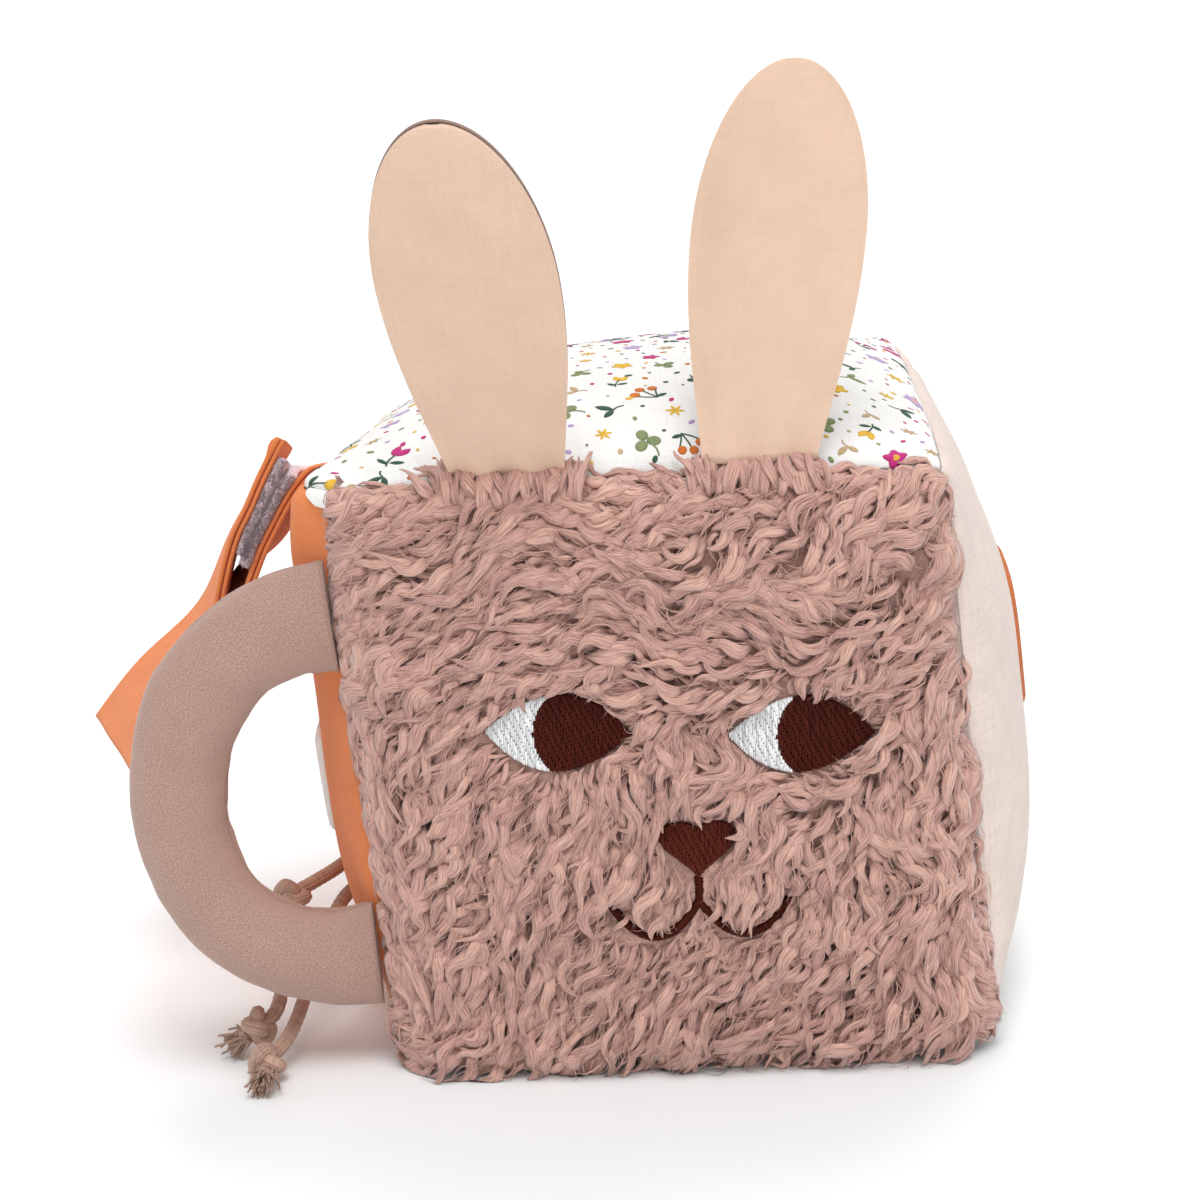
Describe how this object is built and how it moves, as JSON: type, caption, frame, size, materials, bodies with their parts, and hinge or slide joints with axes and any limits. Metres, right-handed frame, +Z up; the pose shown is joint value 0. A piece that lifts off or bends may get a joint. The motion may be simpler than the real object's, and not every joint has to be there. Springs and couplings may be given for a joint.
{
  "type": "soft fabric block",
  "caption": "Stuffed cloth activity block for a baby with a plush rabbit face, crinkle ears, a stuffed grab handle, a folding flap with hook-and-loop tape, knotted cords and a rattle inside.",
  "frame": {"origin": "middle of the flat patch of the bottom panel that the block stands on, at ground level", "axes": "+Z up, -Y out of the rabbit's face, +X towards the viewer's right as the face is looked at"},
  "size_m": [0.2381, 0.1883, 0.2246],
  "materials": {
    "plush": "long curly pile in dusty rose taupe",
    "plush_backing": "knitted backing of the plush",
    "beige_cotton": "plain woven cotton, matte",
    "taupe_cotton": "plain woven cotton, matte",
    "orange_cotton": "plain woven cotton, matte",
    "cream_cotton": "plain woven cotton, matte",
    "printed_cotton": "white woven cotton with a small scattered print",
    "terracotta_cotton": "woven cotton with a stitched edge",
    "sage_cotton": "dark sage woven cotton, matte",
    "white_cotton": "white padded cotton",
    "lilac_tape": "hook-and-loop tape",
    "cord": "braided cotton cord",
    "brown_thread": "satin-stitched embroidery thread",
    "white_thread": "satin-stitched embroidery thread",
    "stuffing": "polyester fibre filling",
    "crinkle_film": "crinkled film between the ear's cloths",
    "rattle_plastic": "moulded rattle capsule"
  },
  "bodies": {
    "block": {"stuffing_lower": "stuffing", "stuffing_upper": "stuffing", "rattle_shell_lower": "rattle_plastic", "rattle_shell_upper": "rattle_plastic", "front_backing": "plush_backing", "front_pile": "plush", "eye_white_left": "white_thread", "eye_pupil_left": "brown_thread", "eye_white_right": "white_thread", "eye_pupil_right": "brown_thread", "nose_embroidery": "brown_thread", "mouth_stitching": "brown_thread", "top_panel": "printed_cotton", "left_panel": "orange_cotton", "right_panel": "cream_cotton", "back_panel": "taupe_cotton", "bottom_panel": "sage_cotton", "side_patch": "white_cotton", "side_loop_tape": "lilac_tape", "right_applique": "terracotta_cotton", "cord_upper": "cord", "cord_upper_end": "cord", "cord_lower": "cord", "cord_middle_knot": "cord", "cord_upper_knot": "cord", "cord_lower_knot": "cord", "cord_upper_eyelet": "terracotta_cotton", "cord_lower_eyelet": "terracotta_cotton"},
    "ear_left": {"ear_left_front": "beige_cotton", "ear_left_back": "taupe_cotton", "ear_left_crinkle": "crinkle_film"},
    "ear_right": {"ear_right_front": "beige_cotton", "ear_right_back": "taupe_cotton", "ear_right_crinkle": "crinkle_film"},
    "handle": {"handle_front_cover": "taupe_cotton", "handle_back_cover": "taupe_cotton", "handle_stuffing": "stuffing"},
    "flap_inner": {"flap_inner_lining": "orange_cotton", "flap_inner_leaf": "orange_cotton", "flap_loop_tape": "lilac_tape"},
    "flap_outer": {"flap_outer_leaf": "orange_cotton", "flap_outer_lining": "orange_cotton", "flap_hook_tape": "lilac_tape"},
    "rattle_ball": {"rattle_ball": "rattle_plastic"}
  },
  "joints": [
    {"name": "left_ear_fold", "type": "hinge", "parent": "block", "child": "ear_left", "pos_m": [-0.0359, -0.0663, 0.142], "axis": [1, 0, 0], "range_deg": [-65, 45]},
    {"name": "right_ear_fold", "type": "hinge", "parent": "block", "child": "ear_right", "pos_m": [0.019, -0.0663, 0.142], "axis": [1, 0, 0], "range_deg": [-45, 80]},
    {"name": "handle_swing", "type": "hinge", "parent": "block", "child": "handle", "pos_m": [-0.0699, -0.0661, 0], "axis": [-0.0599, 0, 0.9982], "range_deg": [-8, 40]},
    {"name": "flap_lift", "type": "hinge", "parent": "block", "child": "flap_inner", "pos_m": [-0.0785, 0, 0.137], "axis": [0.0727, 0.9958, -0.0548], "range_deg": [-5, 105]},
    {"name": "flap_open", "type": "hinge", "parent": "flap_inner", "child": "flap_outer", "pos_m": [-0.1285, -0.035, 0.063], "axis": [0.3634, -0.9297, 0.0592], "range_deg": [-1, 150]},
    {"name": "rattle_roll", "type": "hinge", "parent": "block", "child": "rattle_ball", "pos_m": [-0.00429, 0, 0.0715], "axis": [0, 1, 0], "range_deg": [-60, 60]}
  ]
}
